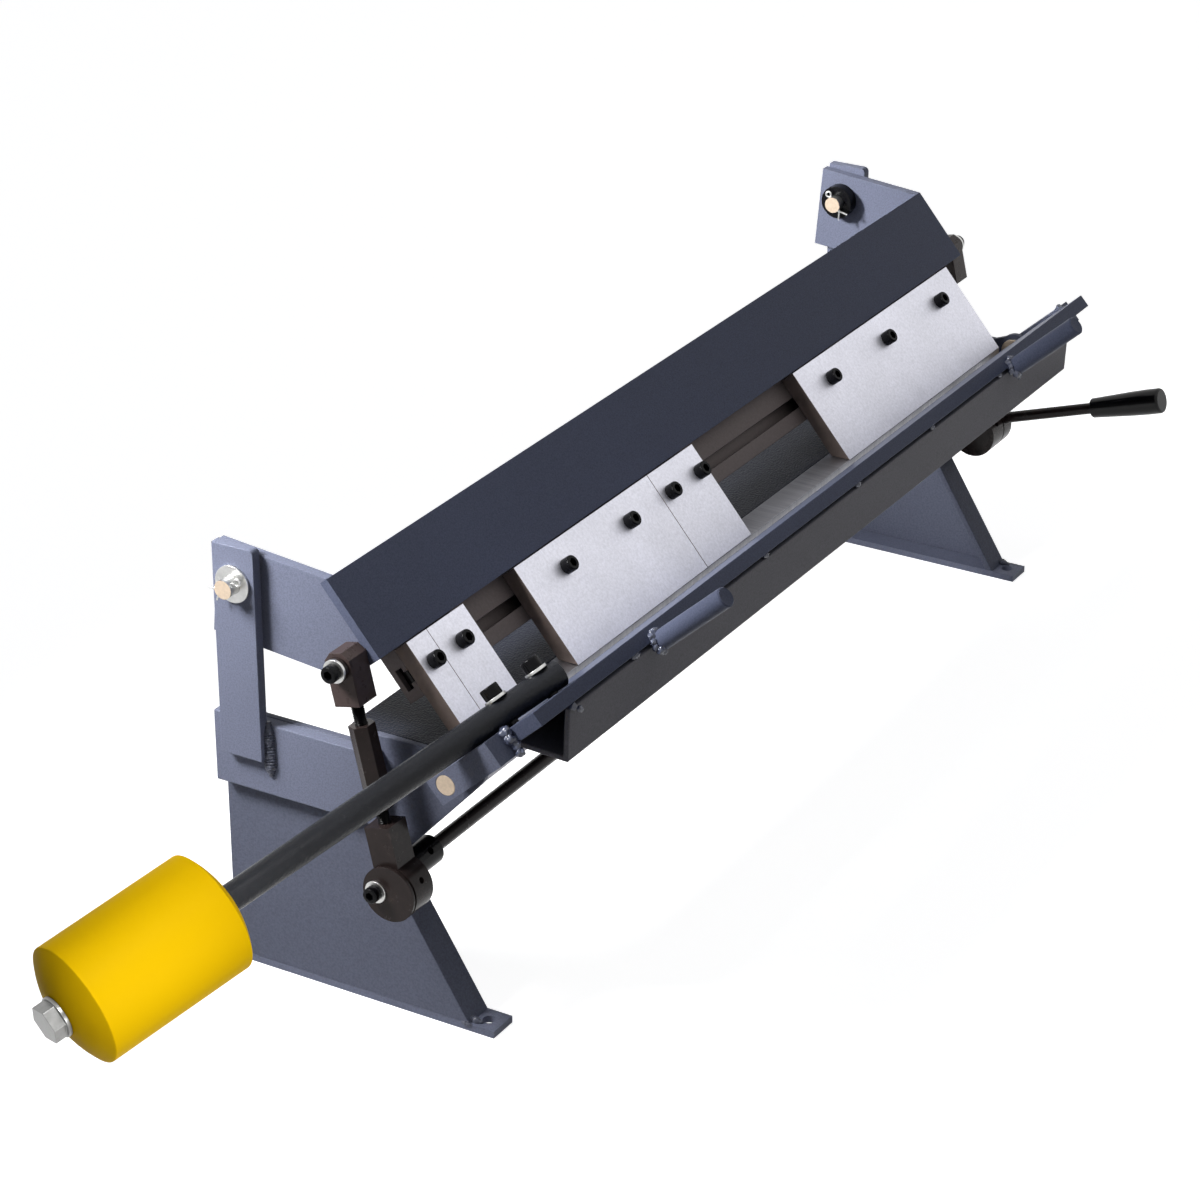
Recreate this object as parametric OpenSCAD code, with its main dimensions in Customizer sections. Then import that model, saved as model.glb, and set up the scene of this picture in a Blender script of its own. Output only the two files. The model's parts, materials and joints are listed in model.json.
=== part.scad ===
// Box and pan brake for a bench: a frame with a bed, a clamping beam with
// sliding fingers in a T-slotted bar, an eccentric shaft that lifts the beam
// through two adjustable links, and a hinged bending leaf with a counterweight.
// X runs along the bed to the right, -Y is the operator's side and +Z is up.
// The origin lies between the four foot holes, on the face under the feet.

/* [Bed and frame] */
// Length of the bed's machined bar, which the fingers and their gaps share
bend_l = 610; // [580:5:660]
// Height of the bed's working face
bed_z = 156; // [155:0.25:157]
// Front edge of the bed, in front of the middle of the feet
bed_front = 68.2; // [68:0.1:70]
// Depth of the machined bar along the bed's front
nose_d = 15; // [12:0.5:18]
// Height of the machined bar
nose_h = 25.5; // [20:0.5:30]
// Side of the angle that carries the bed
bed_iron = 50; // [44:1:56]
// Thickness of that angle
bed_iron_t = 6; // [5:0.5:7]
// Thickness of a side plate
side_t = 4; // [3:0.5:5]
// Gap from the fingers' ends to the inner face of a side plate
side_gap = 11.5; // [10:0.5:14]
// Width of the flange on a leg, and of a foot
flange_w = 18; // [16:0.5:22]
// Half the length of a foot
foot_half = 87; // [84:0.5:92]
// Distance between the two hole centres of a foot
foot_pitch = 157.4; // [152:0.2:160]
// Diameter of a foot hole
foot_hole = 7; // [5:0.5:9]
// Thickness of a foot
foot_t = 4; // [3:0.5:5]
// Height of the flat bar outside each side plate
bar_h = 40; // [34:1:44]
// Thickness of that bar
bar_t = 7.5; // [7:0.5:9]
// Width of a pivot post
post_w = 25; // [22:0.5:28]
// Thickness of a pivot post
post_t = 6; // [5:0.5:6]

/* [Clamping beam] */
// Distance of the rear pivot behind the middle of the feet
rear_y = 52.5; // [52:0.25:53]
// Height of the rear pivot
rear_z = 226.5; // [226:0.25:227]
// Diameter of a rear pivot pin
rear_pin_d = 10; // [8:0.5:11]
// Angle of the beam below level when the fingers lie on the bed
clamp_tilt = 5; // [4.8:0.1:5.2]
// Width of the beam's sloping front face
beam_face = 46.8; // [45:0.2:48]
// Width of the beam's lower flange
beam_flange = 26; // [24:0.5:27]
// Thickness of the beam's flanges
beam_t = 5; // [4:0.5:6]
// Thickness of an end plate of the beam
end_t = 6; // [5:0.5:6]
// Length of a finger down its face
finger_l = 59.9; // [58:0.1:62]
// Thickness of a finger
finger_t = 9.1; // [8:0.1:9.2]
// Widths of the five fingers, from the left
finger_w = [18, 34, 137, 50, 204];
// Gap between the second and the third finger
gap_a = 48; // [30:1:60]
// Height of the T-slotted bar along the fingers
tbar_h = 27.6; // [26:0.2:29]
// Depth of the T-slotted bar
tbar_d = 11; // [10:0.2:12]
// Size of the cap screws that hold the fingers
cap_d = 6; // [5:0.5:6]

/* [Eccentric shaft and links] */
// Distance of the eccentric shaft in front of the middle of the feet
cam_front = 35.5; // [35:0.25:36]
// Height of the eccentric shaft
cam_z = 83.5; // [83:0.25:84]
// Diameter of the eccentric shaft
shaft_d = 8; // [7:0.25:8.5]
// Offset of the eccentrics
throw = 7; // [6.5:0.1:7]
// Diameter of the journal of an eccentric
journal_d = 24; // [23.8:0.1:25]
// Diameter of the discs of an eccentric
disc_d = 30; // [29:0.5:32]
// Outer diameter of a shaft sleeve
sleeve_d = 16; // [14:0.5:18]
// Length of a shaft sleeve
sleeve_l = 24; // [20:1:36]
// Width of a link block across the link
block_w = 15; // [14:0.5:17]
// Thickness of a link block
block_t = 15; // [13:0.5:16]
// Size across the flats of the long adjusting nut
hex_af = 12; // [11:0.5:12]
// Length of the long adjusting nut
hex_l = 45; // [36:1:46]
// Length of the lever from the shaft's axis to the end of its grip
lever_l = 132; // [115:1:150]
// Angle of the lever above level when the fingers lie on the bed
lever_up = 18; // [15:1:24]

/* [Bending leaf] */
// Angle of the leaf above flat in the modelled position
leaf_up = 42.3; // [40:0.1:44]
// Depth of the hinge axis under the leaf's working face
axis_drop = 5; // [4.5:0.1:5]
// Width of the leaf from its rear edge to its front edge
leaf_w = 58; // [56:0.5:62]
// Thickness of the leaf
leaf_t = 8; // [7:0.5:9]
// Side of the stiffening angle under the leaf
stiff_w = 29.5; // [27:0.5:31]
// Wall of the stiffening angle
stiff_t = 3; // [2.5:0.25:4]
// Diameter of a hinge pin
hinge_d = 11; // [9:0.5:11]
// Diameter of a leaf handle
handle_d = 11; // [9:0.5:12]
// Length of a leaf handle
handle_l = 54; // [44:1:70]
// Distance of a leaf handle from the middle
handle_x = 212; // [180:1:240]
// Diameter of the counterweight rod
rod_d = 14; // [12:0.5:14]
// Angle at which the rod runs back across the hinge
rod_back = 24; // [22:0.5:26]
// Diameter of the counterweight
weight_d = 62; // [54:1:70]
// Length of the counterweight's cylinder
weight_l = 78; // [66:1:90]

/* [Hidden] */
$fn = 48;

paint = "#3c4354";
steel = "#b4b4c0";
oxide = "#241f22";
zinc = "#cfcfd2";

// Clearances: a hair between fingers, a running fit, faces that lie together, and a cut's overrun
hair = 0.05;
run = 0.05;
lie = 0.2;
gap = 0.4;
over = 1;

// Places along X, each for one end
side_in = bend_l / 2 + side_gap;
side_out = side_in + side_t;
bar_out = side_out + bar_t;
post_out = bar_out + post_t;
beam_end = bar_out - gap;
end_in = beam_end - end_t;
link_in = bar_out;
link_out = link_in + block_t;
disc_t = 3;
disc_out = link_out + disc_t;
lever_disc_t = 12;
lever_out = link_out + lever_disc_t;

// The leaf's hinge: its axis lies under the corner where the bed and the leaf meet
bed_gap = 0.6;
hinge_y = -bed_front - axis_drop - bed_gap;
hinge_z = bed_z - axis_drop;
hinge = [hinge_y, hinge_z];
rear = [rear_y, rear_z];
cam = [-cam_front, cam_z];

// The outline of a side plate: the leg, the waist round the shaft, the cheek and the hinge boss
back_y = 72.5;
leg_front = -72.4;
waist_from_cam = [11.1, -2.1];
waist = cam + waist_from_cam;
bar_under = 7.5;
bar_top = bed_z - bar_under;
bar_low = bar_top - bar_h;
bar_over = 0.8;
hinge_boss = 10.5;
cheek_rise = 49.4;
cheek_top = 14;
step_y = -20;
step_run = 10;
leg_lean = atan2(waist[0] - leg_front, waist[1] - foot_t);

// The pivot posts, their pins and clips
post_over = 20;
post_lap = 21;
post_round = 3;
pin_inside = 13;
pin_outside = 9;
rear_pin_in = end_in - pin_inside;
rear_pin_out = post_out + pin_outside;
clip_outside = 5;
clip_inside = 3.2;
clip_d = 2.2;
clip_wire = 1.1;
clip_eye = 1.7;
clip_leg = 6;
clip_splay = 38;
washer_t = 1.6;
rear_washer_d = 2 * rear_pin_d;
collar_d = 21;
collar_t = 7.5;

// The shaft's sleeves and the hinge pins
sleeve_proud = 0.4;
set_screw_d = 4;
set_screw_share = 0.62;
pin_rim = 2.5;
pin_head_t = 3;

function turn(v, a) = [v[0] * cos(a) - v[1] * sin(a), v[0] * sin(a) + v[1] * cos(a)];
function unit(v) = v / norm(v);

// Slope frame of the beam: p runs down the front face from the rear pivot, and q out of it
face_rest = 45;
face_a = face_rest + clamp_tilt;
tip_back = 0.1;
tip_place = [tip_back - bed_front, bed_z + lie] - rear;
face_q = tip_place[1] * cos(face_a) - tip_place[0] * sin(face_a);
tip_drop = -tip_place[1];
tip_p = (face_q * cos(face_a) + tip_drop) / sin(face_a);
finger_top = tip_p - finger_l;
finger_under = 0.8;
face_low = finger_top - finger_under;
face_top = face_low - beam_face;
tbar_front = face_q - finger_t - lie;
screw_down = 15;
slot_p = finger_top + screw_down;
slot_w = 12;
slot_t = 4.7;
slot_lip = 3;
screw_play = 0.3;
cap_hole = cap_d + 2 * screw_play;

// An end plate's outline, level and measured from the rear pivot
end_rear = 15.3;
end_up = 16.8;
end_h = 50.9;
end_lip = 0.5;

// The link's pivots, with the hole's play at the upper one
pin_from_rear = [-68, -25.5];
link_pin = rear + pin_from_rear;
link_play = [0.344, -0.281];
ecc = cam + [-throw, 0];
link_v = link_pin + link_play - ecc;
link_l = norm(link_v);
link_lean = atan2(link_v[0], link_v[1]);
link_bolt_d = 6;
link_room = 0.75;
link_hole = link_bolt_d + 2 * link_room;
spacer_l = 3;
spacer_d = 12.5;
washer_in = link_out + spacer_l;
link_head_d = 9;
link_head_h = 5;
link_key = 5;
link_key_up = 2;

// Link blocks, studs and nuts
block_up = 8;
block_down = 20.5;
block_cut = 4;
low_block_h = 35;
stud_d = 6.5;
stud_in = 10;
nut_low = 43;
grease_d = 3.4;

// Eccentrics, their screws and the lever
groove = 1;
hub_gap = 0.8;
cam_screw_d = 5;
cam_screw_l = 10;
cam_washer_d = 12;
cam_washer_t = 1.2;
shaft_short = 1;
lever_d = 7;
lever_seat = 2;
lever_root = shaft_d / 2 + lever_seat;
grip_l = 48;
grip_r = 8;
grip_edge = 1.6;
grip_shares = [[0.725, 0], [0.775, 0.01], [0.95, 0.55], [1, 0.8]];

// The leaf: u runs out along it and n out of its working face
leaf_clear = 2.5;
leaf_len = 2 * (side_out + leaf_clear);
ear_t = 17;
ear_in = leaf_len / 2;
ear_out = ear_in + ear_t;
ear_back = 9;
ear_front = 36.8;
ear_low = -7.5;
ear_high = 6.6;
leaf_gap = 0.3;
notch_room = 7;
notch_u = 16;
stiff_short = 9;
stiff_back = 3;
handle_dip = 10.5;
handle_sink = 1;
handle_edge = 0.8;

// The counterweight, its rod, bolt and screws
rod_inset = 23;
rod_front = 7;
rod_x = rod_inset - bend_l / 2;
rod_u = leaf_w - rod_front;
rod_n = axis_drop + rod_d / 2 + lie;
rod_rise = 1.5;
rod_l = 216;
rod_in = 30;
dome_h = 9;
bolt_d = 10;
bolt_tip_d = 6;
bolt_tip_l = 11;
bolt_af = 17;
bolt_head_h = 6.4;
bolt_collar_d = 21;
bolt_collar_t = 2;
screw_near = 9.5;
screw_pitch = 26;
seat_d = 13;
seat_deep = 0.5;
rod_washer_d = 12;

// One end and its mirror image
module both() {
    children();
    mirror([1, 0, 0]) children();
}

// A flat profile drawn in Y and Z, extruded along X from x0 to x1
module slab(x0, x1) {
    translate([x0, 0, 0]) rotate([90, 0, 90]) linear_extrude(x1 - x0) children();
}

// Turns Z along X at a point of the YZ plane
module at_axis(at, x0) {
    translate([x0, at[0], at[1]]) rotate([0, 90, 0]) children();
}

// A cylinder along X at a point of the YZ plane
module axle(at, d, x0, x1) {
    at_axis(at, x0) cylinder(d = d, h = x1 - x0);
}

// Places its children in the beam's slope frame, with p as X and q as Y of the profile
module on_slope(x0, x1) {
    translate([x0, rear_y, rear_z]) rotate([90, 0, 90])
        rotate(180 + face_a) mirror([0, 1]) linear_extrude(x1 - x0) children();
}

// A hole or a screw square to the beam's face
module on_face(x, p, q) {
    at = rear + turn([p, -q], 180 + face_a);
    translate([x, at[0], at[1]]) rotate([face_a, 0, 0]) children();
}

// The leaf's own frame, with u along -Y and n along +Z
module leaf_frame() {
    translate([0, hinge_y, hinge_z]) rotate([-leaf_up, 0, 0]) children();
}

// A box in the leaf's frame
module leaf_box(x0, x1, u0, u1, n0, n1) {
    translate([x0, -u1, n0]) cube([x1 - x0, u1 - u0, n1 - n0]);
}

// A cap screw that stands on its head's underside, with its shank down
module cap_screw(d, l) {
    difference() {
        union() {
            cylinder(d = d * 5 / 3, h = d);
            translate([0, 0, -l]) cylinder(d = d, h = l + hair);
        }
        translate([0, 0, d / 2]) cylinder(d = d * 0.95, h = d, $fn = 6);
    }
}

module ring(d, hole, h) {
    difference() {
        cylinder(d = d, h = h);
        translate([0, 0, -h]) cylinder(d = hole, h = 3 * h);
    }
}

// The web of a side plate: a leg below, a waist for the shaft, a cheek for the hinge
module side_profile() {
    cheek = unit([-cos(cheek_rise), sin(cheek_rise)]);
    tangent = hinge + hinge_boss * [-cheek[1], cheek[0]];
    difference() {
        union() {
            polygon([
                [back_y, foot_t], [leg_front, foot_t], waist, tangent, hinge,
                [hinge_y, hinge_z + hinge_boss], [hinge_y + cheek_top, bed_z], [step_y, bed_z],
                [step_y + step_run, bar_top], [back_y, bar_top]
            ]);
            translate(hinge) circle(r = hinge_boss);
        }
        translate(hinge) circle(d = hinge_d);
        translate(cam) circle(d = sleeve_d);
    }
}

module leg_flange_profile() {
    up = unit([waist[0] - leg_front, waist[1] - foot_t]);
    difference() {
        polygon([
            [leg_front, foot_t], waist, waist + side_t * [up[1], -up[0]],
            [leg_front + side_t / cos(leg_lean), foot_t]
        ]);
        translate(cam) circle(d = sleeve_d);
    }
}

module side_plates() {
    color(paint) both() {
        slab(side_in, side_out) side_profile();
        slab(side_out - flange_w, side_in + hair) leg_flange_profile();
    }
}

module feet() {
    color(paint) both() difference() {
        translate([side_out - flange_w, -foot_half, 0]) cube([flange_w, 2 * foot_half, foot_t]);
        for (y = [-1, 1] * foot_pitch / 2)
            translate([side_out - flange_w / 2, y, -foot_t]) cylinder(d = foot_hole, h = 3 * foot_t);
    }
}

module side_bars() {
    color(paint) both()
        translate([side_out, waist[0], bar_low]) cube([bar_t, back_y + bar_over - waist[0], bar_h]);
}

module pivot_posts() {
    top = rear_z + post_over;
    low = bar_low + post_lap;
    front = rear_y - post_w / 2;
    color(paint) both() difference() {
        union() {
            translate([bar_out, front, low]) cube([post_t, post_w, top - post_round - low]);
            translate([bar_out, front + post_round, low]) cube([post_t, post_w - post_round, top - low]);
            axle([front + post_round, top - post_round], 2 * post_round, bar_out, post_out);
        }
        axle(rear, rear_pin_d, bar_out - post_t, post_out + post_t);
    }
}

module bed_angle_iron() {
    y0 = nose_d - bed_front;
    color(paint) translate([-side_in, 0, 0]) {
        translate([0, y0, bed_z - bed_iron_t]) cube([2 * side_in, bed_iron, bed_iron_t]);
        translate([0, y0 + bed_iron - bed_iron_t, bed_z - bed_iron])
            cube([2 * side_in, bed_iron_t, bed_iron]);
    }
}

module bed_nose() {
    color(steel) translate([-bend_l / 2, -bed_front, bed_z - nose_h]) cube([bend_l, nose_d, nose_h]);
}

// The clips lie across their pins, turned to where they were pushed in
module clip_places() {
    translate([post_out + clip_outside, rear_y, rear_z]) rotate([58, 0, 0]) children();
    translate([rear_pin_in + clip_inside, rear_y, rear_z]) rotate([-38, 0, 0]) children();
}

module rear_pins() {
    color(zinc) both() difference() {
        axle(rear, rear_pin_d, rear_pin_in, rear_pin_out);
        clip_places() cylinder(d = clip_d, h = 2 * rear_pin_d, center = true);
    }
}

module rear_washers() {
    color(zinc) both() at_axis(rear, post_out) ring(rear_washer_d, rear_pin_d, washer_t);
}

module rear_collars() {
    color(oxide) both() at_axis(rear, end_in - collar_t) ring(collar_d, rear_pin_d, collar_t);
}

// A split pin: its eye stands above the pivot pin, and its two legs are spread below it
module split_pin() {
    out = rear_pin_d / 2 + gap;
    translate([0, 0, -out]) cylinder(d = clip_d, h = 2 * out);
    translate([0, 0, out + clip_eye]) rotate([0, 90, 0]) rotate_extrude($fn = 32)
        translate([clip_eye, 0]) circle(d = clip_wire, $fn = 16);
    for (a = [180 - clip_splay, 180 + clip_splay])
        translate([0, 0, -out]) rotate([a, 0, 0]) cylinder(d = clip_wire, h = clip_leg);
}

module rear_clips() {
    color(zinc) both() clip_places() split_pin();
}

module shaft_sleeves() {
    color(oxide) both() difference() {
        axle(cam, sleeve_d, side_out - sleeve_l, side_out + sleeve_proud);
        axle(cam, shaft_d + 2 * run, side_out - 2 * sleeve_l, side_out + sleeve_l);
        translate([side_out - sleeve_l * set_screw_share, cam[0], cam[1]]) rotate([50, 0, 0])
            cylinder(d = set_screw_d, h = sleeve_d);
    }
}

module hinge_pins() {
    color(zinc) both() {
        axle(hinge, hinge_d, side_in - hair, ear_out);
        axle(hinge, hinge_d + 2 * pin_rim, side_in - pin_head_t, side_in);
    }
}

module clamp_beam() {
    color(paint) difference() {
        on_slope(-beam_end, beam_end) polygon([
            [face_top, face_q], [face_low, face_q], [face_low, face_q - beam_flange],
            [face_low - beam_t, face_q - beam_flange], [face_low - beam_t, face_q - beam_t],
            [face_top, face_q - beam_t]
        ]);
        both() axle(link_pin, link_bolt_d, end_in, beam_end + over);
    }
}

// A point of the beam's section, turned level round the rear pivot
function level(p, q) = turn([p, -q], 180 + face_rest);

// The outline of an end plate, with the beam's section let into its edge
module end_profile() {
    translate(rear) rotate(clamp_tilt) difference() {
        polygon([
            [end_rear, end_up], level(face_top, face_q), level(face_low, face_q),
            level(face_low, face_q - beam_flange + end_lip), [end_rear, end_up - end_h]
        ]);
        polygon([
            level(face_top, face_q + over), level(face_low + over, face_q + over),
            level(face_low + over, face_q - beam_flange),
            level(face_low - beam_t, face_q - beam_flange), level(face_low - beam_t, face_q - beam_t),
            level(face_top, face_q - beam_t)
        ]);
    }
}

module end_plates() {
    color(paint) both() difference() {
        slab(end_in, beam_end) end_profile();
        axle(rear, rear_pin_d + 2 * run, end_in - end_t, beam_end + end_t);
        axle(link_pin, link_bolt_d, end_in - end_t, beam_end + end_t);
    }
}

module tee_slot_bar() {
    color(steel) on_slope(-bend_l / 2, bend_l / 2) difference() {
        translate([face_low, tbar_front - tbar_d]) square([tbar_h, tbar_d]);
        translate([slot_p - slot_w / 2, tbar_front - slot_lip - slot_t]) square([slot_w, slot_t]);
        translate([slot_p - cap_hole / 2, tbar_front - slot_lip - hair])
            square([cap_hole, slot_lip + 2 * hair]);
    }
}

module link_bolts() {
    head_x = washer_in + washer_t;
    color(oxide) both() difference() {
        union() {
            axle(link_pin, link_bolt_d, end_in, head_x);
            axle(link_pin, link_head_d, head_x, head_x + link_head_h);
        }
        at_axis(link_pin, head_x + link_key_up) cylinder(d = link_key, h = link_head_h, $fn = 6);
    }
}

module link_spacers() {
    color(oxide) both() at_axis(link_pin, link_out + gap)
        ring(spacer_d, link_bolt_d, spacer_l - gap);
}

module link_washers() {
    color(zinc) both() at_axis(link_pin, washer_in) ring(spacer_d, link_bolt_d, washer_t);
}

// The last gap takes up what the fingers and the first gap leave of the bed
function total(v, n) = n == 0 ? 0 : v[n - 1] + total(v, n - 1);
gap_b = bend_l - total(finger_w, len(finger_w)) - gap_a;

// Left edge of a finger: the sum of what lies to its left
function finger_x(i) = total(finger_w, i) - bend_l / 2 + (i > 1 ? gap_a : 0) + (i > 3 ? gap_b : 0);

// Screw places along each finger, from its middle, as shares of its width
screw_shares = [[0], [0], [-0.237, 0.237], [-0.32, 0.32], [-0.353, 0, 0.353]];

// Places its children at a finger's screws
module at_screws(i, q) {
    for (s = screw_shares[i]) on_face(finger_x(i) + finger_w[i] * (0.5 + s), slot_p, q) children();
}

module finger(i) {
    back = face_q - finger_t;
    back_p = (back * cos(face_a) + tip_drop) / sin(face_a);
    color(steel) difference() {
        on_slope(finger_x(i) + hair, finger_x(i) + finger_w[i] - hair) polygon([
            [finger_top, back], [finger_top, face_q], [tip_p, face_q], [back_p, back]
        ]);
        at_screws(i, back - over) cylinder(d = cap_hole, h = finger_t + 2 * over);
    }
}

module finger_screws(i) {
    color(oxide) at_screws(i, face_q) cap_screw(cap_d, finger_t + slot_lip + slot_t);
}

module tee_nuts(i) {
    nut = slot_w - 2 * lie;
    h = slot_t - 2 * lie;
    color(oxide) at_screws(i, tbar_front - slot_lip - slot_t + lie) difference() {
        translate([-nut / 2, -nut / 2, 0]) cube([nut, nut, h]);
        translate([0, 0, -h]) cylinder(d = cap_d, h = 3 * h);
    }
}

module cam_shaft() {
    bore_l = cam_screw_l + 2 * shaft_short;
    color(oxide) difference() {
        axle(cam, shaft_d, shaft_short - disc_out, lever_out - shaft_short);
        axle(cam, cam_screw_d, -disc_out, bore_l - disc_out);
        axle(cam, cam_screw_d, lever_out - bore_l, lever_out);
    }
}

// An eccentric turned in one piece: outer disc up to x1, journal for the link, and hub
module eccentric(x1) {
    neck = link_out + lie;
    difference() {
        union() {
            axle(ecc, disc_d, neck + groove, x1);
            axle(ecc, disc_d - 2 * groove, neck, neck + groove);
            axle(ecc, journal_d, link_in, neck);
            axle(cam, sleeve_d, side_out + hub_gap, link_in);
        }
        axle(cam, shaft_d, side_out, x1 + over);
    }
}

module left_eccentric() {
    color(oxide) mirror([1, 0, 0]) eccentric(disc_out);
}

// The right eccentric is thicker and takes the lever
module right_eccentric() {
    color(oxide) difference() {
        eccentric(lever_out);
        along_lever() translate([0, 0, lever_root]) cylinder(d = lever_d, h = disc_d);
    }
}

module cam_ends() {
    mirror([1, 0, 0]) at_axis(cam, disc_out) children();
    at_axis(cam, lever_out) children();
}

module cam_washers() {
    color(zinc) cam_ends() ring(cam_washer_d, cam_screw_d, cam_washer_t);
}

module cam_screws() {
    color(oxide) cam_ends() translate([0, 0, cam_washer_t]) cap_screw(cam_screw_d, cam_screw_l);
}

// The lever points forward and up; it swings up and back to lift the beam
module along_lever() {
    translate([(link_out + lever_out) / 2, cam[0], cam[1]]) rotate([90 - lever_up, 0, 0]) children();
}

module lever_rod() {
    color(oxide) along_lever() translate([0, 0, lever_root])
        cylinder(d = lever_d, h = lever_l - grip_l);
}

module lever_grip() {
    color("#101012") along_lever() translate([0, 0, lever_l - grip_l]) difference() {
        rotate_extrude() polygon(concat(
            [[0, 0]], [for (s = grip_shares) [grip_r * s[0], grip_l * s[1]]],
            [
                [grip_r, grip_l - grip_edge],
                [grip_r - grip_edge * 0.3, grip_l - grip_edge * 0.3],
                [grip_r - grip_edge, grip_l], [0, grip_l]
            ]
        ));
        translate([0, 0, -over]) cylinder(d = lever_d, h = lever_root + over);
    }
}

// Places its children with Z up along the link from the eccentric's centre
module along_link() {
    translate([(link_in + link_out) / 2, ecc[0], ecc[1]]) rotate([-link_lean, 0, 0]) children();
}

module lower_block() {
    color(oxide) along_link() difference() {
        union() {
            rotate([0, 90, 0]) cylinder(d = disc_d, h = block_t, center = true);
            translate([-block_t / 2, -block_w / 2, 0]) cube([block_t, block_w, low_block_h]);
        }
        rotate([0, 90, 0]) cylinder(d = journal_d + 2 * run, h = 3 * block_t, center = true);
        translate([0, 0, low_block_h - stud_in]) cylinder(d = stud_d, h = 2 * stud_in);
        rotate([75, 0, 0]) cylinder(d = grease_d, h = disc_d);
    }
}

module upper_block() {
    half = block_w / 2;
    color(oxide) along_link() translate([0, 0, link_l]) difference() {
        translate([-block_t / 2, 0, 0]) rotate([90, 0, 90]) linear_extrude(block_t) polygon([
            [-half, -block_down], [half, -block_down], [half, block_up - block_cut],
            [half - block_cut, block_up], [block_cut - half, block_up], [-half, block_up - block_cut]
        ]);
        rotate([0, 90, 0]) cylinder(d = link_hole, h = 3 * block_t, center = true);
        translate([0, 0, -block_down - stud_in]) cylinder(d = stud_d, h = 2 * stud_in);
    }
}

module stud() {
    color(oxide) along_link() translate([0, 0, low_block_h - stud_in])
        cylinder(d = stud_d, h = link_l - block_down - low_block_h + 2 * stud_in);
}

module long_nut() {
    color(oxide) along_link() translate([0, 0, nut_low]) difference() {
        cylinder(d = hex_af / cos(30), h = hex_l, $fn = 6);
        translate([0, 0, -over]) cylinder(d = stud_d, h = hex_l + 2 * over);
    }
}

module left_lower_block() { mirror([1, 0, 0]) lower_block(); }
module left_upper_block() { mirror([1, 0, 0]) upper_block(); }
module left_stud() { mirror([1, 0, 0]) stud(); }
module left_long_nut() { mirror([1, 0, 0]) long_nut(); }
module right_lower_block() { lower_block(); }
module right_upper_block() { upper_block(); }
module right_stud() { stud(); }
module right_long_nut() { long_nut(); }

module leaf_plate() {
    low = axis_drop - leaf_t;
    color(paint) difference() {
        leaf_frame() difference() {
            leaf_box(-leaf_len / 2, leaf_len / 2, leaf_gap, leaf_w, low, axis_drop);
            both() leaf_box(side_in - notch_room, leaf_len, -leaf_w, notch_u, low - over, axis_drop + over);
        }
        rod_places() translate([0, 0, -rod_d - leaf_t]) cylinder(d = cap_d, h = 2 * leaf_t);
    }
}

// A profile in the stiffening angle's own frame, with its corner down under the leaf
module angle_slab() {
    end = bend_l / 2 - stiff_short;
    across = stiff_w / sqrt(2);
    down = (stiff_w + stiff_t) / sqrt(2) + leaf_t - axis_drop;
    leaf_frame() slab(-end, end) translate([across + stiff_back - leaf_w, -down]) rotate(45) children();
}

// Its two edges lie against the leaf's lower face
module leaf_angle() {
    color(paint) angle_slab() difference() {
        square(stiff_w);
        translate([stiff_t, stiff_t]) square(stiff_w);
    }
}

module leaf_ears() {
    color(paint) both() difference() {
        leaf_frame() leaf_box(ear_in, ear_out, -ear_back, ear_front, ear_low, ear_high);
        axle(hinge, hinge_d + 2 * run, ear_in - over, ear_out + over);
    }
}

// Each handle is coped round the leaf's front edge and its angle
module leaf_handles() {
    color(paint) both() difference() {
        leaf_frame() translate([handle_x, handle_sink - leaf_w, -handle_d / 2])
            rotate([90 + handle_dip, 0, 0]) translate([0, 0, -handle_d]) {
                cylinder(d = handle_d, h = handle_l + handle_d - handle_edge);
                cylinder(d = handle_d - 2 * handle_edge, h = handle_l + handle_d);
            }
        leaf_frame() leaf_box(0, leaf_len, 0, leaf_w, axis_drop - leaf_t, axis_drop + handle_d);
        angle_slab() square(stiff_w);
    }
}

// Runs from the rod's right end to the left, back across the hinge
module rod_frame() {
    leaf_frame() translate([rod_x, -rod_u, rod_n]) rotate([0, 0, -rod_back]) rotate([0, rod_rise, 0])
        rotate([0, -90, 0]) children();
}

// The two screw places on the rod, with Z out of the leaf
module rod_places() {
    for (d = [screw_near, screw_near + screw_pitch]) {
        u = rod_u - d * sin(rod_back);
        n = rod_n + rod_d / 2 + d * sin(rod_rise);
        leaf_frame() translate([rod_x - d * cos(rod_back), -u, n]) children();
    }
}

module counterweight_rod() {
    color(oxide) difference() {
        rod_frame() cylinder(d = rod_d, h = rod_l + rod_in);
        rod_frame() translate([0, 0, rod_l + rod_in - bolt_tip_l - over])
            cylinder(d = bolt_tip_d, h = 2 * bolt_tip_l);
        rod_places() {
            translate([0, 0, -2 * rod_d]) cylinder(d = cap_d, h = 4 * rod_d);
            translate([0, 0, -seat_deep]) cylinder(d = seat_d, h = rod_d);
        }
    }
}

module counterweight() {
    dome_r = (pow(weight_d / 2, 2) + dome_h * dome_h) / (2 * dome_h);
    color("#f2c400") rod_frame() translate([0, 0, rod_l]) difference() {
        intersection() {
            translate([0, 0, -dome_h]) cylinder(d = weight_d, h = weight_l + 2 * dome_h, $fn = 96);
            translate([0, 0, dome_r - dome_h]) sphere(r = dome_r, $fn = 96);
            translate([0, 0, weight_l + dome_h - dome_r]) sphere(r = dome_r, $fn = 96);
        }
        translate([0, 0, -2 * dome_h]) cylinder(d = rod_d, h = rod_in + 2 * dome_h);
        cylinder(d = bolt_d, h = weight_l + 2 * dome_h);
    }
}

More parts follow.
